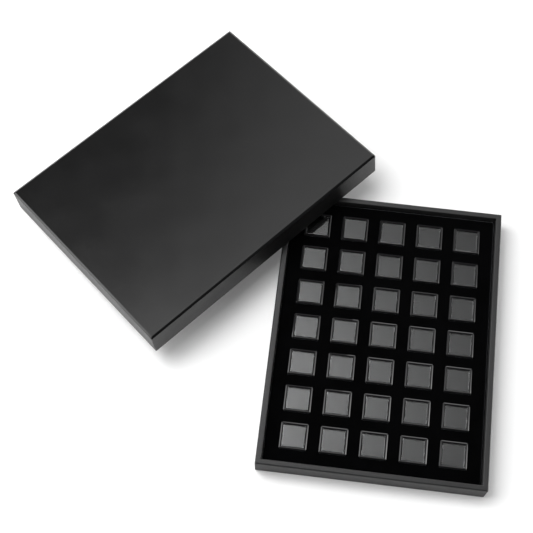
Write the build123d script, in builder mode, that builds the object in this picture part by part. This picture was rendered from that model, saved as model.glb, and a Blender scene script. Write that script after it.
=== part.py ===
from build123d import *
import math
import os

# Gemstone display box: a wrapped tray that holds loose-stone boxes in a velvet insert,
# and a wrapped lid that lies slanted over the tray's rear left corner.
# Millimetres. X runs along the tray's short side, Y towards its rear, Z up.
# The origin is the centre of the tray's underside.

# Stone boxes
gem_side = 30.0
gem_height = 18.0
gem_corner_radius = 1.6
inner_corner_radius = 0.8
cup_height = 10.5
cup_floor = 1.4
cup_foot_fillet = 0.5
lip_wall = 0.9
lip_to_window_gap = 1.35
skirt_wall = 1.0
cap_fit_clearance = 0.15
cap_seat_gap = 0.2
cap_edge_fillet = 0.55
cap_ridge_width = 1.2
cap_frame_width = 2.8
bevel_depth = 0.85
window_lip = 0.3
window_overlap = 1.0
window_thickness = 1.2
piece_gap = 0.1
pad_thickness = 7.6
pad_side_gap = 0.2
pad_edge_fillet = 0.4

# Grid of pockets
column_count = 5
row_count = 7
column_gap = 12.9
row_gap = 11.9
pocket_clearance = 0.4
pocket_seat_gap = 0.3

# Velvet insert
velvet_side_margin = 16.0
velvet_end_margin = 14.3
velvet_thickness = 0.6
velvet_skirt = 9.0
velvet_edge_radius = 1.6
velvet_below_caps = 1.5
velvet_below_rim = 6.5
insert_base_thickness = 3.2
insert_gap = 0.8

# Tray
wrap_thickness = 0.5
tray_board = 5.4
tray_base_thickness = 3.0
tray_corner_radius = 1.2
tray_edge_fillet = 0.8
tray_turn_in = 20.0
tray_turn_under = 14.0

# Lid
lid_board = 3.0
lid_clearance = 1.5
lid_foot_gap = 1.0
lining_thickness = 0.5
lid_turn_in = 15.0
lid_corner_radius = 1.2
lid_edge_fillet = 0.9

# Where the lid lies: its front edge crosses the tray's left rim and its rear rim
lid_turn = 48.8
lid_crossing = 74.0
lid_past_rear_rim = 52.7
rest_gap = 0.3

# Boxes of the front row whose cap lifts off
open_cells = [(row_count, 1), (row_count, column_count)]

os.makedirs("parts", exist_ok=True)


def save(piece, name):
    """Label a finished piece and write it under its node name."""
    piece.part.label = name
    export_step(piece.part, f"parts/{name}.step")


def slab(plane, low, high, thickness):
    """A flat board on a plane, between two opposite corners of its outline."""
    centre = ((low[0] + high[0]) / 2, (low[1] + high[1]) / 2)
    with BuildPart() as board:
        with BuildSketch(plane):
            with Locations(centre):
                Rectangle(high[0] - low[0], high[1] - low[1])
        extrude(amount=thickness)
    return board


def wall_boards(plane, length, width, wall, height):
    """Front, rear, left and right boards standing on a plane, butted at the corners."""
    half_x = length / 2
    half_y = width / 2
    return {
        "front": slab(plane, (-half_x, -half_y), (half_x, wall - half_y), height),
        "rear": slab(plane, (-half_x, half_y - wall), (half_x, half_y), height),
        "left": slab(plane, (-half_x, wall - half_y), (wall - half_x, half_y - wall), height),
        "right": slab(plane, (half_x - wall, wall - half_y), (half_x, half_y - wall), height),
    }


# Stone box, modelled standing on the XY plane at the origin

cap_bottom = cup_height + cap_seat_gap
window_top = gem_height - bevel_depth - window_lip
window_bottom = window_top - window_thickness
window_opening = gem_side - 2 * cap_frame_width
window_side = window_opening + 2 * window_overlap
window_seat = window_side + 2 * piece_gap
skirt_inside = gem_side - 2 * skirt_wall
skirt_radius = gem_corner_radius - cap_fit_clearance
lip_outside = skirt_inside - 2 * cap_fit_clearance
lip_height = window_bottom - lip_to_window_gap - cup_height
cup_inside = lip_outside - 2 * lip_wall
pad_side = cup_inside - 2 * pad_side_gap
bevel_outside = gem_side - 2 * cap_ridge_width
bevel_angle = math.degrees(math.atan2((bevel_outside - window_opening) / 2, bevel_depth))

with BuildPart() as gem_cup:
    with BuildSketch():
        RectangleRounded(gem_side, gem_side, gem_corner_radius)
    extrude(amount=cup_height)
    fillet(gem_cup.faces().sort_by(Axis.Z)[0].edges(), cup_foot_fillet)
    with BuildSketch(Plane.XY.offset(cup_height)):
        RectangleRounded(lip_outside, lip_outside, skirt_radius)
    extrude(amount=lip_height)
    with BuildSketch(Plane.XY.offset(cup_floor)):
        RectangleRounded(cup_inside, cup_inside, inner_corner_radius)
    extrude(amount=gem_height, mode=Mode.SUBTRACT)

with BuildPart() as gem_pad:
    with BuildSketch(Plane.XY.offset(cup_floor + piece_gap)):
        RectangleRounded(pad_side, pad_side, inner_corner_radius)
    extrude(amount=pad_thickness)
    fillet(gem_pad.faces().sort_by(Axis.Z)[-1].edges(), pad_edge_fillet)

with BuildPart() as gem_cap:
    with BuildSketch(Plane.XY.offset(cap_bottom)):
        RectangleRounded(gem_side, gem_side, gem_corner_radius)
    extrude(amount=gem_height - cap_bottom)
    fillet(gem_cap.faces().sort_by(Axis.Z)[-1].edges(), cap_edge_fillet)
    with BuildSketch(Plane.XY.offset(cap_bottom)):
        RectangleRounded(skirt_inside, skirt_inside, skirt_radius)
    extrude(amount=window_bottom - cap_bottom, mode=Mode.SUBTRACT)
    with BuildSketch(Plane.XY.offset(window_bottom)):
        Rectangle(window_seat, window_seat)
    extrude(amount=window_thickness + piece_gap, mode=Mode.SUBTRACT)
    with BuildSketch(Plane.XY.offset(window_bottom)):
        Rectangle(window_opening, window_opening)
    extrude(amount=gem_height, mode=Mode.SUBTRACT)
    with BuildSketch(Plane.XY.offset(gem_height)):
        Rectangle(bevel_outside, bevel_outside)
    extrude(amount=-bevel_depth, taper=bevel_angle, mode=Mode.SUBTRACT)

with BuildPart() as gem_window:
    with BuildSketch(Plane.XY.offset(window_bottom)):
        Rectangle(window_side, window_side)
    extrude(amount=window_thickness)

# Pocket grid and heights inside the tray

pocket_side = gem_side + 2 * pocket_clearance
column_pitch = pocket_side + column_gap
row_pitch = pocket_side + row_gap
pad_floor = wrap_thickness + tray_base_thickness
pocket_floor = pad_floor + insert_base_thickness
gem_base = pocket_floor + pocket_seat_gap
velvet_top = gem_base + gem_height - velvet_below_caps
tray_height = velvet_top + velvet_below_rim


def cell_centre(row, column):
    """Centre of a pocket: row 1 is the rear row, column 1 the left one."""
    across = (column - (column_count + 1) / 2) * column_pitch
    along = ((row_count + 1) / 2 - row) * row_pitch
    return across, along


def place_in_cell(shapes, row, column):
    """The given stone box pieces, moved to their pocket."""
    across, along = cell_centre(row, column)
    with BuildPart() as placed:
        with Locations((across, along, gem_base)):
            for shape in shapes:
                add(shape.part)
    return placed


for row in range(1, row_count + 1):
    for column in range(1, column_count + 1):
        cell = f"r{row}_c{column}"
        if (row, column) in open_cells:
            save(place_in_cell([gem_cup], row, column), f"gem_cup_{cell}")
            save(place_in_cell([gem_pad], row, column), f"gem_pad_{cell}")
            save(place_in_cell([gem_cap], row, column), f"gem_cap_{cell}")
            save(place_in_cell([gem_window], row, column), f"gem_window_{cell}")
        else:
            whole_box = [gem_cup, gem_pad, gem_cap, gem_window]
            save(place_in_cell(whole_box, row, column), f"gem_box_{cell}")

# Velvet outline, and the tray that it lies in with a gap all round

velvet_width = (column_count - 1) * column_pitch + pocket_side + 2 * velvet_side_margin
velvet_length = (row_count - 1) * row_pitch + pocket_side + 2 * velvet_end_margin
inner_width = velvet_width + 2 * insert_gap
inner_length = velvet_length + 2 * insert_gap
tray_wall = tray_board + 2 * wrap_thickness
tray_width = inner_width + 2 * tray_wall
tray_length = inner_length + 2 * tray_wall

# Tray boards inside the wrap

board_width = tray_width - 2 * wrap_thickness
board_length = tray_length - 2 * wrap_thickness
board_height = tray_height - 2 * wrap_thickness

tray_floor_plane = Plane.XY.offset(wrap_thickness)
tray_walls = wall_boards(tray_floor_plane, board_width, board_length, tray_board, board_height)
for side, board in tray_walls.items():
    save(board, f"tray_{side}_board")

base_half_x = board_width / 2 - tray_board
base_half_y = board_length / 2 - tray_board
tray_base_board = slab(
    tray_floor_plane, (-base_half_x, -base_half_y), (base_half_x, base_half_y), tray_base_thickness
)
save(tray_base_board, "tray_base_board")

# Leatherette skin of the tray: outside, over the rim, down inside and under the base

with BuildPart() as tray_wrap:
    with BuildSketch():
        RectangleRounded(tray_width, tray_length, tray_corner_radius)
    extrude(amount=tray_height)
    with BuildSketch(Plane.XY.offset(wrap_thickness)):
        Rectangle(inner_width, inner_length)
    extrude(amount=tray_height, mode=Mode.SUBTRACT)
    fillet(tray_wrap.faces().sort_by(Axis.Z)[-1].edges(), tray_edge_fillet)
    with BuildSketch(Plane.XY.offset(wrap_thickness)):
        Rectangle(board_width, board_length)
        Rectangle(2 * base_half_x, 2 * base_half_y, mode=Mode.SUBTRACT)
    extrude(amount=board_height, mode=Mode.SUBTRACT)
    with BuildSketch(Plane.XY.offset(wrap_thickness)):
        Rectangle(2 * base_half_x, 2 * base_half_y)
    extrude(amount=board_height + wrap_thickness - tray_turn_in, mode=Mode.SUBTRACT)
    with BuildSketch():
        Rectangle(tray_width - 2 * tray_turn_under, tray_length - 2 * tray_turn_under)
    extrude(amount=wrap_thickness, mode=Mode.SUBTRACT)
save(tray_wrap, "tray_wrap")

sheet_half_x = tray_width / 2 - tray_turn_under
sheet_half_y = tray_length / 2 - tray_turn_under
tray_bottom_sheet = slab(
    Plane.XY, (-sheet_half_x, -sheet_half_y), (sheet_half_x, sheet_half_y), wrap_thickness
)
save(tray_bottom_sheet, "tray_bottom_sheet")

# Velvet insert: a base pad, a grid of foam bars and spacers, and the velvet over them

core_width = velvet_width - 2 * velvet_thickness
core_length = velvet_length - 2 * velvet_thickness
core_top = velvet_top - velvet_thickness
core_height = core_top - pocket_floor

insert_base_pad = slab(
    Plane.XY.offset(pad_floor),
    (-core_width / 2, -core_length / 2),
    (core_width / 2, core_length / 2),
    insert_base_thickness,
)
save(insert_base_pad, "insert_base_pad")


def gaps_between_pockets(count, pitch, total):
    """Centre and width of each strip between, before and after evenly spaced pockets."""
    first_edge = (count - 1) / 2 * pitch + pocket_side / 2
    rim = total / 2 - first_edge
    strips = [(-(first_edge + rim / 2), rim)]
    for number in range(count - 1):
        strips.append(((number + 1 - count / 2) * pitch, pitch - pocket_side))
    strips.append((first_edge + rim / 2, rim))
    return strips


across_strips = gaps_between_pockets(column_count, column_pitch, core_width)
along_strips = gaps_between_pockets(row_count, row_pitch, core_length)

with BuildPart() as insert_cross_bars:
    with BuildSketch(Plane.XY.offset(pocket_floor)):
        for middle, breadth in along_strips:
            with Locations((0, middle)):
                Rectangle(core_width, breadth)
    extrude(amount=core_height)
save(insert_cross_bars, "insert_cross_bars")

with BuildPart() as insert_spacers:
    with BuildSketch(Plane.XY.offset(pocket_floor)):
        for middle, breadth in across_strips:
            with Locations((middle, 0)):
                with GridLocations(0, row_pitch, 1, row_count):
                    Rectangle(breadth, pocket_side)
    extrude(amount=core_height)
save(insert_spacers, "insert_spacers")

with BuildPart() as insert_velvet:
    with BuildSketch(Plane.XY.offset(velvet_top - velvet_skirt)):
        Rectangle(velvet_width, velvet_length)
    extrude(amount=velvet_skirt)
    fillet(insert_velvet.faces().sort_by(Axis.Z)[-1].edges(), velvet_edge_radius)
    with BuildSketch(Plane.XY.offset(velvet_top - velvet_skirt)):
        Rectangle(core_width, core_length)
    extrude(amount=velvet_skirt - velvet_thickness, mode=Mode.SUBTRACT)
    with BuildSketch(Plane.XY.offset(velvet_top - velvet_skirt)):
        with GridLocations(column_pitch, row_pitch, column_count, row_count):
            Rectangle(pocket_side, pocket_side)
    extrude(amount=velvet_skirt, mode=Mode.SUBTRACT)
save(insert_velvet, "insert_velvet")

# Lid: sizes from the tray it slips over

lid_wall = lid_board + 2 * wrap_thickness
lid_width = tray_width + 2 * (lid_wall + lid_clearance)
lid_length = tray_length + 2 * (lid_wall + lid_clearance)
lid_top_thickness = wrap_thickness + lid_board + lining_thickness
lid_height = tray_height + lid_top_thickness - lid_foot_gap

# The inner bottom edge of the lid's front wall lies on the tray's rim, and the outer
# bottom edge of its rear wall on the table.

lid_tilt = math.asin(tray_height / (lid_width - lid_wall))
turn = math.radians(lid_turn)
lid_overhang = lid_length - lid_past_rear_rim - lid_crossing / math.sin(turn)
along_front = Vector(math.cos(turn), math.sin(turn), 0)
towards_rear = Vector(
    -math.sin(turn) * math.cos(lid_tilt), math.cos(turn) * math.cos(lid_tilt), -math.sin(lid_tilt)
)
front_edge_height = tray_height + rest_gap + lid_wall * math.sin(lid_tilt)
rim_crossing = Vector(-tray_width / 2, tray_length / 2 - lid_crossing, front_edge_height)
front_middle = rim_crossing + along_front * (lid_length / 2 - lid_overhang)
lid_centre = front_middle + towards_rear * (lid_width / 2)
lid_plane = Plane(origin=lid_centre, x_dir=along_front, z_dir=along_front.cross(towards_rear))
lid_axis = Axis(lid_plane.origin, lid_plane.z_dir)

lid_board_length = lid_length - 2 * wrap_thickness
lid_board_width = lid_width - 2 * wrap_thickness
lid_wall_height = lid_height - 2 * wrap_thickness - lid_board
lid_walls = wall_boards(
    lid_plane.offset(wrap_thickness), lid_board_length, lid_board_width, lid_board, lid_wall_height
)
for side, board in lid_walls.items():
    save(board, f"lid_{side}_board")

lid_top_board = slab(
    lid_plane.offset(wrap_thickness + lid_wall_height),
    (-lid_board_length / 2, -lid_board_width / 2),
    (lid_board_length / 2, lid_board_width / 2),
    lid_board,
)
save(lid_top_board, "lid_top_board")

lid_inner_length = lid_length - 2 * lid_wall
lid_inner_width = lid_width - 2 * lid_wall
board_inner_length = lid_inner_length + 2 * wrap_thickness
board_inner_width = lid_inner_width + 2 * wrap_thickness
lining_height = wrap_thickness + lid_wall_height - lid_turn_in
lining_inner_length = board_inner_length - 2 * lining_thickness
lining_inner_width = board_inner_width - 2 * lining_thickness

with BuildPart() as lid_wrap:
    with BuildSketch(lid_plane):
        RectangleRounded(lid_length, lid_width, lid_corner_radius)
    extrude(amount=lid_height)
    fillet(lid_wrap.faces().sort_by(lid_axis)[-1].edges(), lid_edge_fillet)
    with BuildSketch(lid_plane.offset(wrap_thickness)):
        Rectangle(lid_board_length, lid_board_width)
        Rectangle(board_inner_length, board_inner_width, mode=Mode.SUBTRACT)
    extrude(amount=lid_height - 2 * wrap_thickness, mode=Mode.SUBTRACT)
    with BuildSketch(lid_plane):
        Rectangle(lid_inner_length, lid_inner_width)
    extrude(amount=lid_turn_in, mode=Mode.SUBTRACT)
    with BuildSketch(lid_plane.offset(lid_turn_in)):
        Rectangle(board_inner_length, board_inner_width)
    extrude(amount=lid_height - wrap_thickness - lid_turn_in, mode=Mode.SUBTRACT)
save(lid_wrap, "lid_wrap")

with BuildPart() as lid_lining:
    with BuildSketch(lid_plane.offset(lid_turn_in)):
        Rectangle(board_inner_length, board_inner_width)
    extrude(amount=lining_height)
    with BuildSketch(lid_plane.offset(lid_turn_in)):
        Rectangle(lining_inner_length, lining_inner_width)
    extrude(amount=lining_height - lining_thickness, mode=Mode.SUBTRACT)
save(lid_lining, "lid_lining")
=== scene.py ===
import math

import bmesh
import bpy
import numpy as np
from bpy.props import FloatProperty, FloatVectorProperty, PointerProperty
from mathutils import Matrix, Vector


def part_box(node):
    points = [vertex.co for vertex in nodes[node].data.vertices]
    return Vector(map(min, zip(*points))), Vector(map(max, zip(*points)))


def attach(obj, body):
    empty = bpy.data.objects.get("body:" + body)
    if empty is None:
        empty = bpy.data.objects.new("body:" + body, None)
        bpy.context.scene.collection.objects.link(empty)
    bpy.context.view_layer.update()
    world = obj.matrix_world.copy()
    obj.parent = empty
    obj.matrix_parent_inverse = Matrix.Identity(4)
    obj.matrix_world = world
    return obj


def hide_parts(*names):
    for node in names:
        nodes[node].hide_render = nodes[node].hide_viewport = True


bl_info = {
    "name": "Gemstone display box",
    "version": (1, 0, 0),
    "blender": (4, 5, 0),
    "location": "View3D > Sidebar > Display box",
    "description": "Skins, velvet, stone boxes and stage around the packed display box",
    "category": "Object",
}

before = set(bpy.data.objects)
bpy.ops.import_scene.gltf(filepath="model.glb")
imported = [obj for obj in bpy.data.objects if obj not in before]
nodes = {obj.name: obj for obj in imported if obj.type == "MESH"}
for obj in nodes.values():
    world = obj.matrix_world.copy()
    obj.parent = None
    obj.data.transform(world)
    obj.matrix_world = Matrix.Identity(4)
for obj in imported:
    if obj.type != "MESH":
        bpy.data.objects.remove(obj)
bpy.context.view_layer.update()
MM = 0.001


# Places read from the parts in model.glb


def size_of(node):
    """Half width, half length, floor and top of an upright node."""
    low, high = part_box(node)
    return (high.x - low.x) / 2, (high.y - low.y) / 2, low.z, high.z


def mesh_points(mesh):
    """A mesh's vertices as rows of an array."""
    points = np.zeros(len(mesh.vertices) * 3, np.float32)
    mesh.vertices.foreach_get("co", points)
    return points.reshape(-1, 3).astype(float)


def board_axes(node):
    """Centre and axes of a slanted board: its long side, its short side and its face.

    The corners of a box spread furthest along its long side, so the axes are the
    eigenvectors of their covariance.
    """
    points = np.unique(np.round(mesh_points(nodes[node].data), 6), axis=0)
    centre = (points.min(0) + points.max(0)) / 2
    _, axes = np.linalg.eigh(np.cov((points - centre).T))
    along = axes[:, 2] * np.sign(axes[0, 2])
    upward = axes[:, 0] * np.sign(axes[2, 0])
    across = np.cross(upward, along)
    return centre, np.array([along, across, upward])


def is_open(cell):
    """Whether a stone box has its cap on a body of its own."""
    return f"gem_cap_{cell}" in nodes


def cell_place(cell):
    """Centre of a stone box and the height of its underside."""
    low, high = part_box(f"gem_cup_{cell}" if is_open(cell) else f"gem_box_{cell}")
    return (low.x + high.x) / 2, (low.y + high.y) / 2, low.z


def levels_of(piece):
    """Heights of a piece's underside and top above the foot of its stone box."""
    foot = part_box("gem_cup_r7_c1")[0].z
    low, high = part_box(f"{piece}_r7_c1")
    return low.z - foot, high.z - foot


COLUMNS = range(1, 6)
ROWS = range(1, 8)
CELLS = [f"r{row}_c{column}" for row in ROWS for column in COLUMNS]
COLUMN_PITCH = cell_place("r1_c2")[0] - cell_place("r1_c1")[0]
ROW_PITCH = cell_place("r1_c1")[1] - cell_place("r2_c1")[1]

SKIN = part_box("tray_bottom_sheet")[1].z
TRAY_X, TRAY_Y, _, TRAY_TOP = size_of("tray_wrap")
BASE_X = size_of("tray_base_board")[0]
SHEET_X = size_of("tray_bottom_sheet")[0]
VELVET_X, VELVET_Y, VELVET_FOOT, VELVET_TOP = size_of("insert_velvet")
CORE_X, CORE_Y, POCKET_FLOOR, CORE_TOP = size_of("insert_cross_bars")
INSERT_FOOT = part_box("insert_base_pad")[0].z
LID_MIDDLE, LID_AXES = board_axes("lid_top_board")

GEM_HALF, _, GEM_FOOT, GEM_TOP = size_of("gem_box_r1_c1")
GEM_HEIGHT = GEM_TOP - GEM_FOOT
CUP_TOP = levels_of("gem_cap")[0]
LIP_TOP = levels_of("gem_cup")[1]
WINDOW_HALF = size_of("gem_window_r7_c1")[0]
WINDOW_FOOT, WINDOW_TOP = levels_of("gem_window")
PAD_HALF = size_of("gem_pad_r7_c1")[0]
PAD_FOOT, PAD_TOP = levels_of("gem_pad")

# How far a chamfer falls, as a share of its width
LID_FALL = 0.7
CAP_FALL = 0.64

# Divisions of a skin's straight sides along X and Y, and of a pocket's sides and corners
TRAY_STEPS = (36, 48)
LID_STEPS = (48, 36)
SIDE_STEPS = 4
CORNER_STEPS = 3

# Points this near to each other are welded, and those this near to a top are level
WELD = 0.004 * MM
LEVEL = 0.02 * MM

# Edges at most this many degrees sharp are shaded as smooth
SMOOTH_ROUND = 40.0
SMOOTH_CHAMFERED = 12.0
SMOOTH_LID = 30.0
SMOOTH_VELVET = 60.0


def in_lid(node):
    """A node's vertices in the lid's own axes, from its top board's middle."""
    return (mesh_points(nodes[node].data) - LID_MIDDLE) @ LID_AXES.T


# Surfaces


def ring_paths(half_x, half_y, corner, count_x, count_y, arc):
    """Rounded rectangles, one for each entry of half_x, half_y and corner.

    Each goes round by corner arcs of a quarter turn, joined by straight sides that are
    divided evenly: count_x steps along X, count_y along Y, and arc steps in a corner.
    """
    signs = ((1, 1), (-1, 1), (-1, -1), (1, -1))
    arcs = []
    for quarter, (sx, sy) in enumerate(signs):
        turn = np.radians(90 * quarter + np.linspace(0, 90, arc + 1))
        x = sx * (half_x - corner)[:, None] + corner[:, None] * np.cos(turn)
        y = sy * (half_y - corner)[:, None] + corner[:, None] * np.sin(turn)
        arcs.append(np.stack([x, y], -1))
    runs = []
    for quarter in range(4):
        start = arcs[quarter][:, -1:]
        end = arcs[(quarter + 1) % 4][:, :1]
        steps = count_y if quarter % 2 else count_x
        share = np.arange(1, steps)[None, :, None] / steps
        runs += [arcs[quarter], start + (end - start) * share]
    return np.concatenate(runs, 1)


def swept(profile, half_x, half_y, corner, count_x, count_y, arc=6):
    """A profile carried round a rounded rectangle, as points in rings.

    Each profile point is (distance outward from the outline, height). A corner's
    radius is the outline's plus that distance, and never under a hair's breadth.
    """
    out, height = np.array(profile, float).T
    x = np.maximum(half_x + out, 0)
    y = np.maximum(half_y + out, 0)
    least = 0.02 * MM
    radius = np.minimum(np.maximum(corner + out, least), np.minimum(x, y))
    plan = ring_paths(x, y, radius, count_x, count_y, arc)
    z = np.broadcast_to(height[:, None, None], plan.shape[:2] + (1,))
    return np.concatenate([plan, z], 2)


def ring_faces(rings, looped=False):
    """Quads between neighbouring rings, closed round each ring.

    Looped rings are joined from the last to the first too.
    """
    count, around = rings.shape[:2]
    rows = np.arange(count if looped else count - 1)
    step = np.arange(around)[None, :]
    below = rows[:, None] * around
    above = ((rows + 1) % count)[:, None] * around
    turned = (step + 1) % around
    corners = [below + step, below + turned, above + turned, above + step]
    return np.stack(corners, -1).reshape(-1, 4)


def carried(profile, half_x, half_y, corner, count_x, count_y, arc=6, looped=False):
    """A solid's rings and faces, from a profile carried round a rounded rectangle.

    The profile begins and ends at the middle, or is closed in itself and looped, which
    gives a hoop.
    """
    rings = swept(profile, half_x, half_y, corner, count_x, count_y, arc)
    return rings, ring_faces(rings, looped)


def arc_points(centre, radius, start, end, steps):
    """Profile points on an arc between two angles in degrees."""
    turn = np.radians(np.linspace(start, end, steps + 1))
    return [(centre[0] + radius * math.cos(t), centre[1] + radius * math.sin(t)) for t in turn]


def line_points(start, end, steps):
    """Profile points on a straight line, the ends included."""
    share = np.linspace(0, 1, steps + 1)[:, None]
    return [tuple(p) for p in np.array(start) + (np.array(end) - np.array(start)) * share]


def ripple(points, top, height, wave, seed, sink=0.0, directions=7):
    """Makes the level upper side of a surface gently uneven, and sinks it a little.

    The rise is the mean of sine waves of about one length in seeded directions.
    """
    draw = np.random.default_rng(seed)
    level = np.abs(points[:, 2] - top) < LEVEL
    total = np.zeros(level.sum())
    for _ in range(directions):
        way = draw.normal(size=3)
        way /= np.linalg.norm(way)
        pace = 2 * math.pi / (wave * draw.uniform(0.6, 1.5))
        total += np.sin(points[level] @ way * pace + draw.uniform(0, 2 * math.pi))
    points[level, 2] += total * height / directions - sink


def crown(rings, half, above, height):
    """Lowers the part of a square piece above a height, more towards its border.

    The fall is the crown's height times 1 - (1 - (x / half)^2) (1 - (y / half)^2).
    """
    away = (1 - (rings[..., 0] / half) ** 2) * (1 - (rings[..., 1] / half) ** 2)
    rings[..., 2] += np.where(rings[..., 2] > above, height * (away - 1), 0.0)


def led_to(rings, half_x, half_y, count_x, count_y, shares):
    """Rings with others put before them, straight from a rectangle to the first.

    Each new one is the rectangle, moved a share of the way to the first ring.
    """
    size = [np.array([value]) for value in (half_x, half_y, 0.0)]
    border = ring_paths(*size, count_x, count_y, CORNER_STEPS)[0]
    border = np.concatenate([border, np.full((len(border), 1), rings[0, 0, 2])], 1)
    share = np.array(shares)[:, None, None]
    return np.concatenate([border + (rings[0] - border) * share, rings])


def pocketed(pocket, corner, rim, half_x, half_y, rim_corner):
    """The parts of a block or sheet with a pocket in each cell, from two profiles.

    A cell runs from its rectangular border to its pocket, and on along the pocket's
    profile. The rest runs from the border of all the cells to the outer edge, and on
    along the rim's profile.
    """
    span, steps = np.array([COLUMN_PITCH, ROW_PITCH]) / 2, np.array([SIDE_STEPS, SIDE_STEPS])
    cell = swept(pocket, GEM_HALF, GEM_HALF, corner, *steps, CORNER_STEPS)
    cell = led_to(cell, *span, *steps, (0.0, 0.35, 0.75))
    grid = np.array([len(COLUMNS), len(ROWS)])
    outer = swept(rim, half_x, half_y, rim_corner, *steps * grid, CORNER_STEPS)
    outer = led_to(outer, *span * grid, *steps * grid, (0.0, 0.5))
    parts = []
    for name in CELLS:
        x, y, _ = cell_place(name)
        parts.append((cell + np.array([x, y, 0.0]), ring_faces(cell)))
    return parts + [(outer, ring_faces(outer)[:, ::-1])]


def build(name, parts, material, body, replaced=(), smooth=SMOOTH_ROUND, sheet=False):
    """A piece on its body, from (points, faces) parts that are welded together.

    Its faces are turned outward, or upward on a sheet, which is open.
    """
    faces, start = [], 0
    for part_points, part_faces in parts:
        faces.append(part_faces + start)
        start += part_points.size // 3
    points = np.concatenate([p.reshape(-1, 3) for p, _ in parts])
    mesh = bpy.data.meshes.new(name)
    mesh.from_pydata(points.tolist(), [], np.concatenate(faces).tolist())
    shape = bmesh.new()
    shape.from_mesh(mesh)
    bmesh.ops.remove_doubles(shape, verts=shape.verts, dist=WELD)
    if sheet:
        bmesh.ops.recalc_face_normals(shape, faces=shape.faces)
        outward = sum(f.normal.z * f.calc_area() for f in shape.faces)
    else:
        outward = shape.calc_volume(signed=True)
    if outward < 0:
        bmesh.ops.reverse_faces(shape, faces=shape.faces)
    shape.to_mesh(mesh)
    shape.free()
    mesh.shade_smooth()
    mesh.set_sharp_from_angle(angle=math.radians(smooth))
    piece = bpy.data.objects.new(name, mesh)
    bpy.context.scene.collection.objects.link(piece)
    mesh.materials.append(material)
    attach(piece, body)
    if replaced:
        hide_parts(*replaced)
    return piece


# Materials


def colour(value, factor=1.0):
    """A grey or a colour as four numbers, made lighter or darker by a factor."""
    parts = [value] * 3 if isinstance(value, float) else value
    return (*(factor * part for part in parts), 1.0)


class Net:
    """Adds nodes to a tree and links them by name."""

    def __init__(self, tree):
        """Keeps the tree that the nodes go into."""
        self.tree = tree

    def feed(self, node, values):
        """Gives a node's inputs their values or links."""
        for key, value in values.items():
            if isinstance(value, bpy.types.NodeSocket):
                self.tree.links.new(value, node.inputs[key])
            else:
                node.inputs[key].default_value = value

    def add(self, kind, values=None, **settings):
        """A node with its settings, and with values or links for its inputs."""
        node = self.tree.nodes.new(kind)
        for key, setting in settings.items():
            setattr(node, key, setting)
        self.feed(node, values or {})
        return node

    def effect(self, group, **values):
        """The outputs of a shared effect, given its own values."""
        return self.add("ShaderNodeGroup", values, node_tree=group).outputs

    def math(self, operation, a, b=0.0):
        """The result of one sum."""
        return self.add("ShaderNodeMath", {0: a, 1: b}, operation=operation).outputs[0]

    def plus(self, first, *others):
        """The sum of several values."""
        for other in others:
            first = self.math("ADD", first, other)
        return first

    def times(self, first, *others):
        """The product of several values."""
        for other in others:
            first = self.math("MULTIPLY", first, other)
        return first

    def spread(self, value, low, high, to_low=0.0, to_high=1.0, soft=False):
        """A value mapped from one range to another, and kept inside it."""
        given = {"Value": value, "From Min": low, "From Max": high}
        given.update({"To Min": to_low, "To Max": to_high})
        blend = "SMOOTHSTEP" if soft else "LINEAR"
        node = self.add("ShaderNodeMapRange", given, interpolation_type=blend)
        return node.outputs["Result"]

    def between(self, share, first, second):
        """A colour between two others."""
        given = {0: share, 6: first, 7: second}
        return self.add("ShaderNodeMix", given, data_type="RGBA").outputs[2]

    def noise(self, place, scale, detail=2.0, distortion=0.0):
        """The strength of a cloudy pattern."""
        given = {"Vector": place, "Scale": scale, "Detail": detail, "Distortion": distortion}
        return self.add("ShaderNodeTexNoise", given).outputs["Fac"]

    def cells(self, place, scale, feature="F1"):
        """Distances in a pattern of cells: from their middles, or from their edges."""
        given = {"Vector": place, "Scale": scale}
        return self.add("ShaderNodeTexVoronoi", given, feature=feature).outputs["Distance"]


def effect(name, inputs, outputs, fill):
    """A node group with named sockets, filled in by a function and built once."""
    if name in bpy.data.node_groups:
        return bpy.data.node_groups[name]
    group = bpy.data.node_groups.new(name, "ShaderNodeTree")
    for label, value in inputs.items():
        kind = "NodeSocketVector" if value is None else "NodeSocketFloat"
        socket = group.interface.new_socket(label, in_out="INPUT", socket_type=kind)
        if value is not None:
            socket.default_value = value
    for label in outputs:
        group.interface.new_socket(label, in_out="OUTPUT", socket_type="NodeSocketFloat")
    net = Net(group)
    results = fill(net, net.add("NodeGroupInput").outputs)
    net.feed(net.add("NodeGroupOutput"), dict(zip(outputs, results)))
    return group


def pebbled_grain():
    """Embossed leather grain: rounded pebbles with creases between them, and pores."""
    waver, pores_per_pebble = 0.0011, 2.7
    swells_per_metre, patches_per_metre = 330.0, 21.0

    def fill(net, given):
        """The height is pebbles, pores and broad swells, each at its own share."""
        place, pebbles = given["Place"], given["Pebbles"]
        warp = net.add("ShaderNodeTexNoise", {"Vector": place, "Scale": pebbles})
        bent = net.add(
            "ShaderNodeVectorMath", {0: warp.outputs["Color"], "Scale": waver}, operation="SCALE"
        )
        moved = net.add("ShaderNodeVectorMath", {0: place, 1: bent.outputs[0]}).outputs[0]
        crowns = net.spread(net.cells(moved, pebbles, "DISTANCE_TO_EDGE"), 0.0, 0.32)
        pores = net.noise(place, net.times(pebbles, pores_per_pebble), 3.0)
        pores = net.spread(pores, 0.35, 0.65)
        swells = net.times(net.noise(place, swells_per_metre, 1.0), 1.6)
        crowns, pores = net.times(crowns, 0.75), net.times(pores, 0.25)
        height = net.plus(crowns, pores, swells)
        return height, net.spread(net.noise(place, patches_per_metre), 0.3, 0.7)

    return effect("pebbled_grain", {"Place": None, "Pebbles": 900.0}, ["Height", "Patches"], fill)


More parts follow.
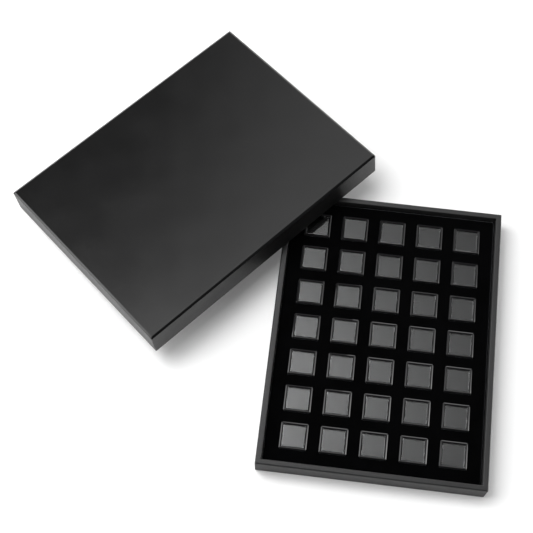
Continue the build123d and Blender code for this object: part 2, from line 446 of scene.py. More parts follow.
def handling_marks():
    """What handling leaves: specks of dust, and hairline scratches in two directions."""
    dusty_places_per_metre, scratches_per_metre = 60.0, 70.0
    directions = ((0.5, 40.0), (2.1, 34.0))

    def fill(net, given):
        """Specks lie in the dusty places only, and the scratches in every place."""
        place = given["Place"]
        dust = net.spread(net.cells(place, given["Specks"]), 0.10, 0.04)
        sparse = net.spread(net.noise(place, dusty_places_per_metre, 1.0), 0.5, 0.62)
        lines = []
        for turn, stretch in directions:
            turned = net.add(
                "ShaderNodeMapping",
                {"Vector": place, "Rotation": (0.0, 0.0, turn), "Scale": (1.0, stretch, 1.0)},
            )
            wave = net.noise(turned.outputs[0], scratches_per_metre, 4.0)
            lines.append(net.spread(wave, 0.66, 0.74))
        return net.times(dust, sparse), net.math("MAXIMUM", *lines)

    return effect("handling_marks", {"Place": None, "Specks": 700.0}, ["Dust", "Scratches"], fill)


def fibre_nap():
    """Short fibres: a fine lie of the nap, and broad patches brushed another way."""
    lie, patches_per_metre = (1.0, 0.45, 1.0), 28.0

    def fill(net, given):
        """The fibres are a pattern drawn out along Y, and the patches a broad one."""
        lain = net.add("ShaderNodeMapping", {"Vector": given["Place"], "Scale": lie}).outputs[0]
        fibres = net.spread(net.noise(lain, given["Fibres"], 4.0), 0.3, 0.7)
        brushed = net.noise(given["Place"], patches_per_metre, 2.0, distortion=1.2)
        return fibres, net.spread(brushed, 0.35, 0.65)

    return effect("fibre_nap", {"Place": None, "Fibres": 2600.0}, ["Fibres", "Brushed"], fill)


def new_material(name):
    """A material with its net, its main shader and the object's own coordinates."""
    material = bpy.data.materials.new(name)
    material.use_nodes = True
    net = Net(material.node_tree)
    shader = material.node_tree.nodes["Principled BSDF"]
    place = net.add("ShaderNodeTexCoord").outputs["Object"]
    return material, net, shader, place


def bump(net, shader, height, distance, strength):
    """Raises a surface by a pattern, a true distance high."""
    given = {"Height": height, "Distance": distance, "Strength": strength}
    net.feed(shader, {"Normal": net.add("ShaderNodeBump", given).outputs[0]})


def leatherette(settings, name, shade, dullness, side_dullness):
    """Black embossed leatherette: creases duller than the pebbles, and darker by painted shade.

    Sides have a dullness of their own, because handling polishes the level parts most.
    """
    painted_crease_shade, worn_shade, wear, relief = 0.55, 1.35, 0.45, 0.14
    material, net, shader, place = new_material(name)
    height, patches = net.effect(pebbled_grain(), Place=place, Pebbles=settings.pebbles_per_metre)
    pebbles = net.spread(height, 0.6, 1.6)
    # The creases are painted darker: painted shade in the grain's hollows.
    base = net.between(pebbles, colour(shade, painted_crease_shade), colour(shade))
    base = net.between(net.times(patches, wear), base, colour(shade, worn_shade))
    facing = net.add("ShaderNodeNewGeometry").outputs["Normal"]
    rise = net.add("ShaderNodeSeparateXYZ", {0: facing}).outputs["Z"]
    rough = net.spread(rise, 0.25, 0.75, side_dullness, dullness)
    creases = net.spread(height, 0.4, 1.8, 0.06, -0.02)
    rubbed = net.spread(patches, 0.0, 1.0, -0.02, 0.02)
    net.feed(shader, {"Base Color": base, "Roughness": net.plus(rough, creases, rubbed)})
    bump(net, shader, height, settings.grain_depth, relief)
    return material


def velvet(settings, name):
    """Black velvet: almost no colour, a faint sheen, and a brushed nap painted lighter in patches.
    """
    shade, deep, painted_sheen = settings.velvet_colour, 0.5, 1.8
    material, net, shader, place = new_material(name)
    fibres, brushed = net.effect(fibre_nap(), Place=place)
    base = net.between(fibres, colour(shade, deep), colour(shade))
    # Patches brushed another way are painted lighter: a painted sheen of the nap.
    base = net.between(net.times(brushed, 0.5), base, colour(shade, painted_sheen))
    net.feed(shader, {
        "Base Color": base,
        "Roughness": 0.95,
        "Specular IOR Level": 0.0,
        "Sheen Weight": settings.velvet_sheen,
        "Sheen Roughness": 0.35,
        "Sheen Tint": (0.62, 0.64, 0.68, 1.0),
    })
    bump(net, shader, fibres, 0.12 * MM, 0.6)
    return material


def foam(name, shade, cells_per_metre):
    """Closed-cell foam: fine pits over an even dark surface, the pits darker by painted shade."""
    material, net, shader, place = new_material(name)
    depth = net.spread(net.cells(place, cells_per_metre), 0.1, 0.6)
    # The pits are painted darker: painted shade in the hollows.
    base = net.between(depth, colour(shade, 0.45), colour(shade))
    rough = net.spread(depth, 0.0, 1.0, 0.97, 0.86)
    net.feed(shader, {"Base Color": base, "Roughness": rough, "Specular IOR Level": 0.2})
    bump(net, shader, depth, 0.15 * MM, 0.6)
    return material


def marked(net, dust, by_dust, scratches, by_scratches, clean):
    """The dullness of a clean surface, with what its dust and scratches add."""
    return net.plus(net.times(scratches, by_scratches), clean, net.times(dust, by_dust))


def moulded_plastic(settings, name):
    """Glossy black plastic with a faint moulding texture, dust and hairline scratches."""
    dust_shade, dust_cover, texture_per_metre = 0.12, 0.5, 1500.0
    material, net, shader, place = new_material(name)
    dust, scratches = net.effect(handling_marks(), Place=place)
    cover = net.times(dust, dust_cover)
    base = net.between(cover, colour(settings.plastic_colour), colour(dust_shade))
    rough = marked(net, dust, 0.3, scratches, 0.16, settings.plastic_roughness)
    net.feed(shader, {"Base Color": base, "Roughness": rough})
    bump(net, shader, net.noise(place, texture_per_metre), 0.01 * MM, 0.5)
    return material


def clear_window(settings, name):
    """Clear acrylic: hairline scratches and dust blur its gloss a little."""
    specks_per_metre, waves_per_metre = 420.0, 90.0
    material, net, shader, place = new_material(name)
    dust, scratches = net.effect(handling_marks(), Place=place, Specks=specks_per_metre)
    net.feed(shader, {
        "Roughness": marked(net, dust, 0.25, scratches, 0.10, settings.window_roughness),
        "Base Color": (0.90, 0.92, 0.93, 1.0),
        "Transmission Weight": 1.0,
        "IOR": 1.49,
    })
    bump(net, shader, net.noise(place, waves_per_metre, 1.0), 0.01 * MM, 0.4)
    return material


def grey_board(name):
    """Recycled grey board: pressed fibres, with dark and pale flecks."""
    fibres_per_metre, flecks_per_metre = 900.0, 320.0
    dark, pale, speck = (0.27, 0.26, 0.24, 1.0), (0.40, 0.38, 0.35, 1.0), (0.10, 0.09, 0.08, 1.0)
    material, net, shader, place = new_material(name)
    fibres, brushed = net.effect(fibre_nap(), Place=place, Fibres=fibres_per_metre)
    flecks = net.spread(net.cells(place, flecks_per_metre), 0.16, 0.06)
    base = net.between(fibres, dark, pale)
    base = net.between(net.times(flecks, 0.7), base, speck)
    rough = net.spread(brushed, 0.0, 1.0, 0.86, 0.95)
    net.feed(shader, {"Base Color": base, "Roughness": rough})
    bump(net, shader, fibres, 0.08 * MM, 0.6)
    return material


def black_paper(name):
    """Matt black paper: fine fibres and a slight rub where it is handled."""
    fibres_per_metre, dark, pale, rubbed = 1500.0, 0.008, 0.018, 0.026
    material, net, shader, place = new_material(name)
    fibres, brushed = net.effect(fibre_nap(), Place=place, Fibres=fibres_per_metre)
    base = net.between(fibres, colour(dark), colour(pale))
    base = net.between(net.times(brushed, 0.4), base, colour(rubbed))
    rough = net.spread(brushed, 0.0, 1.0, 0.72, 0.84)
    net.feed(shader, {"Base Color": base, "Roughness": rough})
    bump(net, shader, fibres, 0.03 * MM, 0.5)
    return material


# Shapes of the stone boxes, standing at the origin. A profile's distances are measured
# outward from the outline, so those inside it are negative.


def square(profile, half, corner, steps, arc, looped=False):
    """A profile carried round a square with rounded corners."""
    return carried(profile, half, half, corner, steps, steps, arc, looped)


def cup_shape(settings):
    """The cup: up the outside with a rounded foot, over the lip and down to the floor."""
    foot, soft = settings.foot_radius, 0.18 * MM
    lip_out, lip_in, floor = -1.15 * MM, -2.05 * MM, 1.4 * MM
    shoulder = CUP_TOP - 0.2 * MM
    profile = [(-GEM_HALF, 0.0), (-foot - 0.6 * MM, 0.0)]
    profile += arc_points((-foot, foot), foot, -90, 0, 8)
    profile += [(0.0, foot + 0.5 * MM), (0.0, shoulder - 0.4 * MM)]
    profile += arc_points((-soft, shoulder - soft), soft, 0, 90, 3)
    profile += [(lip_out, shoulder), (lip_out, LIP_TOP - 0.5 * MM)]
    profile += arc_points((lip_out - soft, LIP_TOP - soft), soft, 0, 90, 3)
    profile += arc_points((lip_in + soft, LIP_TOP - soft), soft, 90, 180, 3)
    profile += [(lip_in, LIP_TOP - 0.6 * MM), (lip_in, floor + 0.4 * MM)]
    profile += [(lip_in, floor), (lip_in - 0.4 * MM, floor), (-GEM_HALF, floor)]
    return square(profile, GEM_HALF, settings.box_corner, 3, 8)


def cap_shape(settings):
    """The cap frame: skirt, chamfer, flat ridge, slope, and a steeper foot at the window.

    The slope falls half of its width.
    """
    edge, ridge, top = settings.cap_edge, -settings.ridge_width, GEM_HEIGHT
    skirt, seam = -1.0 * MM, 0.12 * MM
    opening = WINDOW_HALF - 1.0 * MM - GEM_HALF
    seat = WINDOW_HALF + 0.1 * MM - GEM_HALF
    sill, shelf = WINDOW_TOP + 0.05 * MM, WINDOW_FOOT - 0.02 * MM
    slope, drop = opening + settings.foot_width, CAP_FALL * edge
    fall = min(0.5 * (ridge - slope), top - sill - 0.3 * MM)
    profile = [(skirt, CUP_TOP), (-seam, CUP_TOP), (0.0, CUP_TOP + seam)]
    profile += [(0.0, top - drop - 0.5 * MM), (0.0, top - drop)]
    profile += [(-edge, top), (ridge, top)]
    profile += [(slope, top - fall), (opening, sill + seam), (opening, sill)]
    profile += [(seat, sill), (seat, shelf), (skirt, shelf)]
    return square(profile, GEM_HALF, settings.box_corner, 3, 8, looped=True)


def window_shape(settings):
    """The window: a thin plate with softened edges and a slightly crowned top."""
    soft, corner, half = 0.15 * MM, 0.3 * MM, WINDOW_HALF
    inward = (0.15, 0.4, 0.7, 1.0)
    profile = [(-half * s, WINDOW_FOOT) for s in reversed(inward)]
    profile += arc_points((-soft, WINDOW_FOOT + soft), soft, -90, 0, 2)
    profile += arc_points((-soft, WINDOW_TOP - soft), soft, 0, 90, 2)
    profile += [(-half * s, WINDOW_TOP) for s in inward]
    rings, faces = square(profile, half, corner, 4, 2)
    crown(rings, half, (WINDOW_FOOT + WINDOW_TOP) / 2, settings.window_crown)
    return rings, faces


def pad_shape(settings):
    """The foam pad: straight sides, rounded upper edges and a soft crown."""
    edge, corner, half = 0.8 * MM, 0.8 * MM, PAD_HALF
    profile = [(-half, PAD_FOOT), (-0.5 * half, PAD_FOOT), (0.0, PAD_FOOT)]
    profile += [(0.0, PAD_TOP - edge - 2.5 * MM)]
    profile += arc_points((-edge, PAD_TOP - edge), edge, 0, 90, 4)
    profile += [(-half * s, PAD_TOP) for s in (0.15, 0.3, 0.5, 0.75, 1.0)]
    rings, faces = square(profile, half, corner, 5, 3)
    crown(rings, half, PAD_TOP - 2 * edge, settings.pad_crown)
    return rings, faces


# Settings


def number(name, description, default, **more):
    """A number that a user can change."""
    return FloatProperty(name=name, description=description, default=default, **more)


def length(name, description, default):
    """A length that a user can change."""
    return number(name, description, default, unit="LENGTH", precision=5)


def fraction(name, description, default):
    """A value from nought to one that a user can change."""
    return number(name, description, default, min=0.0, max=1.0)


def vector(name, description, default, **more):
    """Several numbers in one that a user can change."""
    return FloatVectorProperty(name=name, description=description, default=default, **more)


def tint(name, description, default):
    """A colour that a user can change."""
    return vector(name, description, default, subtype="COLOR", min=0.0, max=1.0)


class WrapSettings(bpy.types.PropertyGroup):
    """Leatherette of the lid and the tray."""

    wrap_colour: tint("Lid leatherette", "Colour of the lid's skin", (0.0030, 0.0030, 0.0031))
    # Painted light: the tray's skin is set lighter than the lid's, standing in for the brighter
    # reflections on its rim.
    tray_painted_light_colour: tint(
        "Tray leatherette", "Colour of the tray's skin, greyed by handling",
        (0.016, 0.016, 0.0165),
    )
    lid_roughness: fraction(
        "Lid roughness", "Dullness of the lid's top, which handling polishes", 0.13,
    )
    side_roughness: fraction("Lid side roughness", "Dullness of the lid's sides", 0.42)
    tray_roughness: fraction("Tray roughness", "Dullness of the tray's rim", 0.36)
    tray_side_roughness: fraction("Tray side roughness", "Dullness of the tray's sides", 0.62)
    pebbles_per_metre: number("Pebbles", "Grain pebbles in a metre", 1100.0, min=1.0)
    grain_depth: length("Grain depth", "Height of the embossed grain", 0.06 * MM)
    lid_edge: length("Lid edge", "Width of the chamfer round the lid's top", 2.4 * MM)
    tray_edge: length("Tray edge", "Rounding of the tray's outer edges", 1.65 * MM)
    rim_edge: length("Rim edge", "Rounding of the rim's inner edge", 0.9 * MM)
    corner_radius: length("Corner radius", "Rounding of the upright corners", 1.2 * MM)
    tray_turn_in: length("Tray turn-in", "How far the tray's skin reaches down inside", 20.0 * MM)
    lid_turn_in: length("Lid turn-in", "How far the lid's skin reaches up inside", 15.0 * MM)


class InsertSettings(bpy.types.PropertyGroup):
    """Velvet of the insert."""

    velvet_colour: tint("Velvet", "Colour of the velvet", (0.0008, 0.0008, 0.0009))
    velvet_sheen: fraction("Sheen", "Strength of the velvet's sheen", 0.5)
    roll_radius: length("Rolled edge", "Rounding of the insert's outer edge", 3.0 * MM)
    pocket_radius: length("Pocket edge", "Rounding where the velvet turns into a pocket", 0.7 * MM)
    velvet_thickness: length("Velvet thickness", "Thickness of the velvet", 0.5 * MM)


class StoneBoxSettings(bpy.types.PropertyGroup):
    """The small boxes with their windows and pads."""

    plastic_colour: tint("Plastic", "Colour of cups and caps", (0.006, 0.006, 0.0065))
    plastic_roughness: fraction("Plastic roughness", "Dullness of the plastic", 0.09)
    window_roughness: fraction("Window roughness", "Haze of the window", 0.05)
    window_crown: length("Window crown", "How far the window rises in its middle", 0.04 * MM)
    pad_crown: length("Pad crown", "How far the foam pad rises in its middle", 0.5 * MM)
    box_corner: length("Corner radius", "Upright corners of cup and cap", 1.6 * MM)
    cap_edge: length("Cap edge", "Width of the chamfer round the cap's top", 1.05 * MM)
    ridge_width: length(
        "Ridge width", "From the cap's side to the inner end of its ridge", 1.15 * MM,
    )
    foot_width: length("Frame foot", "Width of the steeper foot at the window", 0.35 * MM)
    foot_radius: length("Foot radius", "Rounding of the cup's foot", 0.5 * MM)


class StageSettings(bpy.types.PropertyGroup):
    """Camera, lamp, room and floor. Spreads in the room are shares of the sky's radius."""

    camera_place: vector(
        "Camera", "Place of the camera", (-0.07822, -0.45684, 1.28074), subtype="TRANSLATION",
    )
    camera_lens: number("Lens", "Focal length on a 36 mm sensor, in millimetres", 79.36)
    key_place: vector(
        "Key lamp", "Place of the soft lamp on the left", (-1.05, 0.18, 1.72),
        subtype="TRANSLATION",
    )
    key_size: length("Key size", "Side of the soft lamp", 1.3)
    key_power: number("Key power", "Power of the soft lamp, in watts", 32.5)
    glow_middle: vector(
        "Glow", "Level parts of the direction of the glow overhead", (-0.27, 0.272), size=2,
    )
    glow_level: number("Glow level", "Brightness of the glow at its middle", 5.3)
    glow_length: number("Glow length", "Spread of the glow along X", 0.2725)
    glow_width: number("Glow width", "Spread of the glow along Y", 0.1275)
    panel_middle: vector(
        "Panel", "Level parts of the direction of the broad panel", (-0.27, 0.50), size=2,
    )
    panel_level: number("Panel level", "Brightness of the panel at its middle", 1.65)
    panel_width: number("Panel width", "Spread of the panel", 0.35)
    front_level: number("Front wall", "Brightness of the wall in front", 0.25)
    strip_level: number("Right strip", "Brightness of the low light on the right", 6.0)
    left_level: number("Left strip", "Brightness of the low light on the left", 3.0)
    rear_level: number("Rear strip", "Brightness of the low light at the rear", 1.2)
    dome_level: number("Dome", "Brightness of the room overhead", 0.15)
    floor_shade: fraction("Floor", "Shade of the floor", 0.9)
    floor_lift: fraction("Floor lift", "What is added so that the floor shows white", 0.10)


# Operators


class DISPLAYBOX_OT_tray_skin(bpy.types.Operator):
    """Wrap the tray: outside, over the rim, down inside and under the base"""

    bl_idname = "display_box.tray_skin"
    bl_label = "Tray skin"

    def execute(self, context):
        """The skin's section is carried round the tray as one closed hoop."""
        settings = context.scene.display_box_wrap
        edge, lip, top = settings.tray_edge, settings.rim_edge, TRAY_TOP
        hold, flat = 0.5 * MM, 0.4 * MM
        inner, under = BASE_X - SKIN - TRAY_X, SHEET_X - TRAY_X
        turn_in = top - settings.tray_turn_in
        profile = [(under, 0.0), (-3 * edge, 0.0)]
        profile += arc_points((-edge, edge), edge, -90, 0, 4)
        profile += line_points((0.0, edge + hold), (0.0, top - edge - hold), 6)
        profile += arc_points((-edge, top - edge), edge, 0, 90, 6)
        profile += line_points((-edge - flat, top), (inner + lip + flat, top), 3)
        profile += arc_points((inner + lip, top - lip), lip, 90, 180, 6)
        profile += line_points((inner, top - lip - hold), (inner, turn_in), 4)
        profile += [(inner + SKIN, turn_in), (inner + SKIN, top - SKIN), (-SKIN, top - SKIN)]
        profile += [(-SKIN, SKIN), (under, SKIN)]
        corner = settings.corner_radius
        rings, faces = carried(profile, TRAY_X, TRAY_Y, corner, *TRAY_STEPS, looped=True)
        points = rings.reshape(-1, 3)
        ripple(points, top, 0.05 * MM, 34 * MM, seed=11)
        # The tray's lighter colour is painted light for its rim's reflections.
        material = leatherette(
            settings, "tray_leatherette", settings.tray_painted_light_colour,
            settings.tray_roughness, settings.tray_side_roughness,
        )
        build("tray_skin", [(points, faces)], material, "tray", ["tray_wrap"])
        return {"FINISHED"}


class DISPLAYBOX_OT_lid_skin(bpy.types.Operator):
    """Wrap the lid: over the top, down the sides and up inside"""

    bl_idname = "display_box.lid_skin"
    bl_label = "Lid skin"

    def execute(self, context):
        """The skin's section runs from the top's middle to its underside's middle."""
        settings = context.scene.display_box_wrap
        reach = in_lid("lid_wrap")
        low, high = reach.min(0), reach.max(0)
        half_x, half_y = (high[0] - low[0]) / 2, (high[1] - low[1]) / 2
        top, foot, ceiling = high[2], low[2], in_lid("lid_top_board")[:, 2].max()
        inner = low[1] - SKIN - in_lid("lid_front_board")[:, 1].max()
        turn_in = foot + settings.lid_turn_in
        edge, fall, small = settings.lid_edge, LID_FALL * settings.lid_edge, 0.45 * MM
        profile = [(-half_y * s, top) for s in np.linspace(1.0, 0.04, 14)]
        profile += [(-edge - 1.2 * MM, top), (-edge, top), (0.0, top - fall)]
        profile += line_points((0.0, top - fall - 0.6 * MM), (0.0, foot + small + 0.3 * MM), 6)
        profile += arc_points((-small, foot + small), small, 0, -90, 4)
        profile += arc_points((inner + small, foot + small), small, -90, -180, 4)
        profile += [(inner, foot + small + 0.4 * MM), (inner, turn_in)]
        profile += [(inner + SKIN, turn_in), (inner + SKIN, foot + SKIN)]
        profile += [(-SKIN, foot + SKIN), (-SKIN, ceiling - fall), (-SKIN - edge, ceiling)]
        profile += [(-half_y, ceiling)]
        rings, faces = carried(profile, half_x, half_y, settings.corner_radius, *LID_STEPS)
        points = rings.reshape(-1, 3)
        ripple(points, top, 0.07 * MM, 60 * MM, seed=5)
        points = points @ LID_AXES + LID_MIDDLE
        material = leatherette(
            settings, "lid_leatherette", settings.wrap_colour,
            settings.lid_roughness, settings.side_roughness,
        )
        build(
            "lid_skin", [(points, faces)], material, "lid", ["lid_wrap"],
            smooth=SMOOTH_LID,
        )
        return {"FINISHED"}


class DISPLAYBOX_OT_velvet(bpy.types.Operator):
    """Lay the velvet: over the insert, into each pocket and down its outer sides"""

    bl_idname = "display_box.velvet"
    bl_label = "Velvet"

    def execute(self, context):
        """A sheet with a pocket in each cell, given its thickness by a modifier."""
        settings = context.scene.display_box_insert
        top, roll, turn = VELVET_TOP, settings.roll_radius, settings.pocket_radius
        gap, reach_down, swell = 0.2 * MM, 4.0 * MM, 0.12 * MM
        pocket = arc_points((gap + turn, top - turn), turn, 90, 180, 4)
        pocket += [(gap, top - turn - 1.0 * MM), (gap, top - reach_down)]
        rim = [(-roll - 1.5 * MM, top)]
        rim += arc_points((-roll, top - roll), roll, 90, 0, 6)
        rim += line_points((0.0, top - roll - 0.5 * MM), (0.0, VELVET_FOOT + 0.1 * MM), 3)
        parts = pocketed(pocket, 1.2 * MM, rim, VELVET_X, VELVET_Y, 3.0 * MM)
        piece = build(
            "velvet_cover", parts, velvet(settings, "black_velvet"), "tray",
            ["insert_velvet"], smooth=SMOOTH_VELVET, sheet=True,
        )
        points = mesh_points(piece.data)
        ripple(points, top, swell, 40 * MM, seed=21, sink=swell)
        piece.data.vertices.foreach_set("co", points.ravel())
        piece.data.update()
        solid = piece.modifiers.new("thickness", "SOLIDIFY")
        solid.thickness = settings.velvet_thickness
        solid.offset = -1.0
        return {"FINISHED"}


class DISPLAYBOX_OT_foam_block(bpy.types.Operator):
    """Cut the foam block that the velvet covers, with a pocket for each stone box"""

    bl_idname = "display_box.foam_block"
    bl_label = "Foam block"

    def execute(self, context):
        """One closed block with plain sides and a flat underside.

        Each pocket has a wider mouth, where the velvet turns in.
        """
        top, mouth, snug, chamfer = CORE_TOP - 0.05 * MM, 0.75 * MM, 0.4 * MM, 1.0 * MM
        pocket = [(mouth, top), (mouth, top - 3.0 * MM), (mouth - 0.3 * MM, top - 4.2 * MM)]
        pocket += line_points((snug, top - 5.0 * MM), (snug, POCKET_FLOOR), 3)
        pocket += [(-GEM_HALF * s, POCKET_FLOOR) for s in (0.1, 0.5, 1.0)]
        rim = [(-chamfer, top), (0.0, top - chamfer)]
        rim += line_points((0.0, top - 2 * chamfer), (0.0, INSERT_FOOT), 4)
        rim += [(-CORE_X * s, INSERT_FOOT) for s in (0.02, 0.4, 1.0)]
        parts = pocketed(pocket, 1.2 * MM, rim, CORE_X, CORE_Y, 2.5 * MM)
        replaced = ["insert_base_pad", "insert_cross_bars", "insert_spacers"]
        material = foam("insert_foam", 0.02, 1500.0)
        piece = build("foam_block", parts, material, "tray", replaced)
        return {"FINISHED"}


class DISPLAYBOX_OT_stone_boxes(bpy.types.Operator):
    """Make each stone box: cup, cap frame, window and foam pad"""

    bl_idname = "display_box.stone_boxes"
    bl_label = "Stone boxes"

    def execute(self, context):
        """The same four shapes in each pocket, on that box's own body.

        Where the cap has a body of its own, cup and cap are pieces of their own too.
        """
        settings = context.scene.display_box_stone
        plastic = moulded_plastic(settings, "moulded_plastic")
        clear = clear_window(settings, "clear_window")
        soft = foam("pad_foam", 0.012, 1900.0)
        shapes = [make(settings) for make in (cup_shape, cap_shape, window_shape, pad_shape)]
        for cell in CELLS:
            moved = [(rings + np.array(cell_place(cell)), faces) for rings, faces in shapes]
            cup, cap, window, pad = ([part] for part in moved)
            body = above = f"stone_box_{cell}"
            node_of_window, node_of_pad = (), ()
            if is_open(cell):
                above = f"cap_{cell}"
                node_of_window, node_of_pad = [f"gem_window_{cell}"], [f"gem_pad_{cell}"]
                build(f"stone_cup_{cell}", cup, plastic, body,
                      [f"gem_cup_{cell}"])
                build(f"stone_cap_{cell}", cap, plastic, above,
                      [f"gem_cap_{cell}"], smooth=SMOOTH_CHAMFERED)
            else:
                build(f"stone_box_{cell}", cup + cap, plastic, body,
                      [f"gem_box_{cell}"], smooth=SMOOTH_CHAMFERED)
            build(f"stone_window_{cell}", window, clear, above, node_of_window)
            piece = build(f"stone_pad_{cell}", pad, soft, body, node_of_pad)
        return {"FINISHED"}


class DISPLAYBOX_OT_boards(bpy.types.Operator):
    """Finish the boards under the skins, the lid's lining and the sheet under the base"""

    bl_idname = "display_box.boards"
    bl_label = "Boards and papers"

    def execute(self, context):
        """The lid's top board is cut again, with the chamfer that its skin follows.

        The others keep their own shapes and only get their materials.
        """
        board, paper = grey_board("grey_board"), black_paper("black_paper")
        edge = context.scene.display_box_wrap.lid_edge
        half_x, half_y, top = in_lid("lid_top_board").max(0)
        foot = in_lid("lid_top_board")[:, 2].min()
        profile = [(-half_y, foot), (0.0, foot), (0.0, top - LID_FALL * edge)]
        profile += [(-edge, top), (-half_y, top)]
        rings, faces = carried(profile, half_x, half_y, 0.0, 4, 4, 2)
        points = rings @ LID_AXES + LID_MIDDLE
        build("lid_top_panel", [(points, faces)], board, "lid", ["lid_top_board"])
        for name, node in nodes.items():
            if node.hide_render:
                continue
            node.data.materials.clear()
            is_paper = name in ("lid_lining", "tray_bottom_sheet")
            node.data.materials.append(paper if is_paper else board)
        return {"FINISHED"}


def key_lamp(settings):
    """The soft square lamp, turned towards the box and not seen in reflections."""
    lamp = bpy.data.lights.new("key_lamp", "AREA")
    lamp.shape = "SQUARE"
    lamp.size = settings.key_size
    lamp.energy = settings.key_power
    holder = bpy.data.objects.new("key_lamp", lamp)
    bpy.context.scene.collection.objects.link(holder)
    place, aim = Vector(settings.key_place), Vector((-0.1, 0.1, 0.0))
    holder.location = place
    holder.rotation_euler = (aim - place).to_track_quat("-Z", "Y").to_euler()
    holder.visible_glossy = False
    holder.visible_transmission = False


# The room's edges. X, Y and height are the parts of a direction of length one, and each
# pair says where a soft edge begins and where it ends.
WALL_TOP = (0.445, 0.50)
FRONT_WAY, FRONT_EDGE = (0.5, -0.866, 0.0), (0.3, 0.75)
RIGHT_X, RIGHT_TOP = (0.80, 0.90), (0.52, 0.44)
RIGHT_MIDDLE, RIGHT_WIDTH = 0.2, 0.14
LEFT_X, LEFT_NEAR, LEFT_FAR = (-0.77, -0.87), (-0.45, -0.25), (0.45, 0.25)
LEFT_TOP, LEFT_FOOT = (0.60, 0.54), (0.27, 0.34)
REAR_Y, REAR_TOP = (0.90, 0.96), (0.28, 0.20)
PANEL_WAY, PANEL_EDGE = (0.911, -0.4125, 0.0), (-0.557, -0.306)


def studio_world(settings):
    """A white room with a dark ceiling, low strips at three sides, a glow and a panel.

    Directions are read by their level parts, so the ceiling lies on a flat disc. The
    glow, the panel and the right strip fall off as e to minus the square of the distance
    from their middle over their width, and the panel ends at a soft straight edge. Seen
    straight by the camera, the room is white.
    """
    world = bpy.data.worlds.new("studio")
    bpy.context.scene.world = world
    world.use_nodes = True
    net = Net(world.node_tree)
    way = net.add("ShaderNodeTexCoord").outputs["Generated"]
    x, y, height = net.add("ShaderNodeSeparateXYZ", {0: way}).outputs

    def along(direction):
        """How far the view goes along a direction."""
        line = {0: way, 1: direction}
        return net.add("ShaderNodeVectorMath", line, operation="DOT_PRODUCT").outputs["Value"]

    def hill(*terms):
        """e to minus the sum of the squares of (value - middle) / width."""
        away = 0.0
        for value, middle, width in terms:
            share = net.math("DIVIDE", net.math("SUBTRACT", value, middle), width)
            away = net.plus(net.times(share, share), away)
        return net.math("EXPONENT", net.times(away, -1.0))

    def spot(middle, width_x, width_y, level):
        """A hill on the ceiling, as high as the level."""
        return net.times(hill((x, middle[0], width_x), (y, middle[1], width_y)), level)

    walls = net.times(
        net.spread(height, *WALL_TOP, 1.0, settings.dome_level),
        net.spread(along(FRONT_WAY), *FRONT_EDGE, 1.0, settings.front_level),
    )
    right = net.times(
        net.spread(x, *RIGHT_X), hill((y, RIGHT_MIDDLE, RIGHT_WIDTH)),
        net.spread(height, *RIGHT_TOP), settings.strip_level,
    )
    left = net.times(
        net.spread(x, *LEFT_X), net.spread(y, *LEFT_NEAR), net.spread(y, *LEFT_FAR),
        net.spread(height, *LEFT_TOP), net.spread(height, *LEFT_FOOT), settings.left_level,
    )
    rear = net.times(net.spread(y, *REAR_Y), net.spread(height, *REAR_TOP), settings.rear_level)
    glow = spot(
        settings.glow_middle, settings.glow_length, settings.glow_width, settings.glow_level
    )
    width = settings.panel_width
    panel = spot(settings.panel_middle, width, width, settings.panel_level)
    panel = net.times(panel, net.spread(along(PANEL_WAY), *PANEL_EDGE, soft=True))
    above = net.math("GREATER_THAN", height, 0.0)
    overhead = net.times(net.plus(glow, panel), above)
    level = net.plus(walls, right, left, rear, overhead)
    seen = net.add("ShaderNodeLightPath").outputs["Is Camera Ray"]
    kept = net.times(level, net.math("SUBTRACT", 1.0, seen))
    back = world.node_tree.nodes["Background"]
    net.feed(back, {"Color": colour(1.0), "Strength": net.plus(kept, seen)})


def pale_floor(settings):
    """A wide plain floor, lifted to white where the lamp reaches it in full."""
    half = 6.0
    mesh = bpy.data.meshes.new("floor")
    corners = [(-half, -half, 0), (half, -half, 0), (half, half, 0), (-half, half, 0)]
    mesh.from_pydata(corners, [], [(0, 1, 2, 3)])
    floor = bpy.data.objects.new("floor", mesh)
    bpy.context.scene.collection.objects.link(floor)
    material, net, shader, _ = new_material("pale_floor")
    path = net.add("ShaderNodeLightPath").outputs
    seen = [path[f"Is {kind} Ray"] for kind in ("Camera", "Glossy", "Transmission")]
    seen = net.math("MINIMUM", net.plus(*seen), 1.0)
    net.feed(shader, {
        "Base Color": colour(settings.floor_shade),
        "Roughness": 0.9,
        "Specular IOR Level": 0.0,
        "Emission Color": colour(1.0),
        "Emission Strength": net.times(seen, settings.floor_lift),
    })
    mesh.materials.append(material)


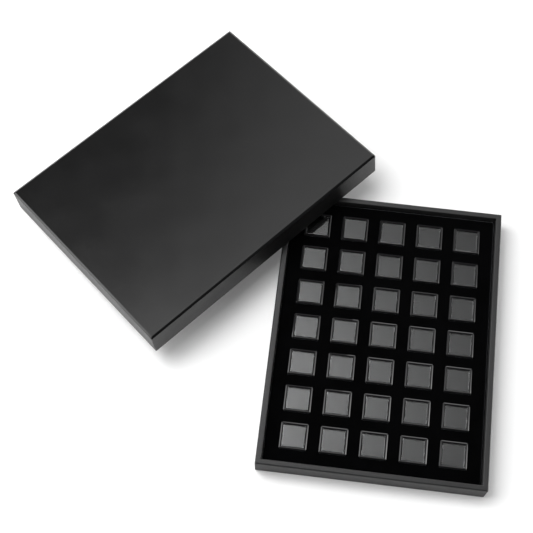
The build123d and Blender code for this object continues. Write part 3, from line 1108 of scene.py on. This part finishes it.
class DISPLAYBOX_OT_stage(bpy.types.Operator):
    """Set up the camera, the lamp, the room and the floor"""

    bl_idname = "display_box.stage"
    bl_label = "Stage"

    def execute(self, context):
        """The camera stands in front and high above, turned a little to the side."""
        settings = context.scene.display_box_stage
        right = Vector((0.99270612, 0.12055802, 0.00056365))
        down = Vector((0.11133957, -0.91498583, -0.38782011))
        forward = Vector((-0.04623909, 0.38505416, -0.92173491))
        camera = bpy.data.objects.new("camera", bpy.data.cameras.new("camera"))
        context.scene.collection.objects.link(camera)
        turn = Matrix((right, -down, -forward)).transposed().to_4x4()
        camera.matrix_world = Matrix.Translation(settings.camera_place) @ turn
        camera.data.sensor_width = 36.0
        camera.data.lens = settings.camera_lens
        context.scene.camera = camera
        key_lamp(settings)
        studio_world(settings)
        pale_floor(settings)
        context.scene.view_settings.view_transform = "Standard"
        return {"FINISHED"}


class DISPLAYBOX_PT_panel(bpy.types.Panel):
    """Lists the steps that dress the display box"""

    bl_label = "Display box"
    bl_idname = "DISPLAYBOX_PT_panel"
    bl_space_type = "VIEW_3D"
    bl_region_type = "UI"
    bl_category = "Display box"

    def draw(self, context):
        """A button for each step."""
        for step in STEPS:
            self.layout.operator(step.bl_idname)


STEPS = (
    DISPLAYBOX_OT_tray_skin,
    DISPLAYBOX_OT_lid_skin,
    DISPLAYBOX_OT_velvet,
    DISPLAYBOX_OT_foam_block,
    DISPLAYBOX_OT_stone_boxes,
    DISPLAYBOX_OT_boards,
    DISPLAYBOX_OT_stage,
)
GROUPS = {
    "display_box_wrap": WrapSettings,
    "display_box_insert": InsertSettings,
    "display_box_stone": StoneBoxSettings,
    "display_box_stage": StageSettings,
}


def register():
    """Adds the settings, the steps and the panel."""
    for name, group in GROUPS.items():
        bpy.utils.register_class(group)
        setattr(bpy.types.Scene, name, PointerProperty(type=group))
    for step in STEPS:
        bpy.utils.register_class(step)
    bpy.utils.register_class(DISPLAYBOX_PT_panel)


def unregister():
    """Takes them away again."""
    bpy.utils.unregister_class(DISPLAYBOX_PT_panel)
    for step in reversed(STEPS):
        bpy.utils.unregister_class(step)
    for name, group in GROUPS.items():
        delattr(bpy.types.Scene, name)
        bpy.utils.unregister_class(group)


def main():
    """Runs each step in order."""
    register()
    bpy.ops.display_box.tray_skin()
    bpy.ops.display_box.lid_skin()
    bpy.ops.display_box.velvet()
    bpy.ops.display_box.foam_block()
    bpy.ops.display_box.stone_boxes()
    bpy.ops.display_box.boards()
    bpy.ops.display_box.stage()
    bpy.context.view_layer.update()


if __name__ == "__main__":
    main()
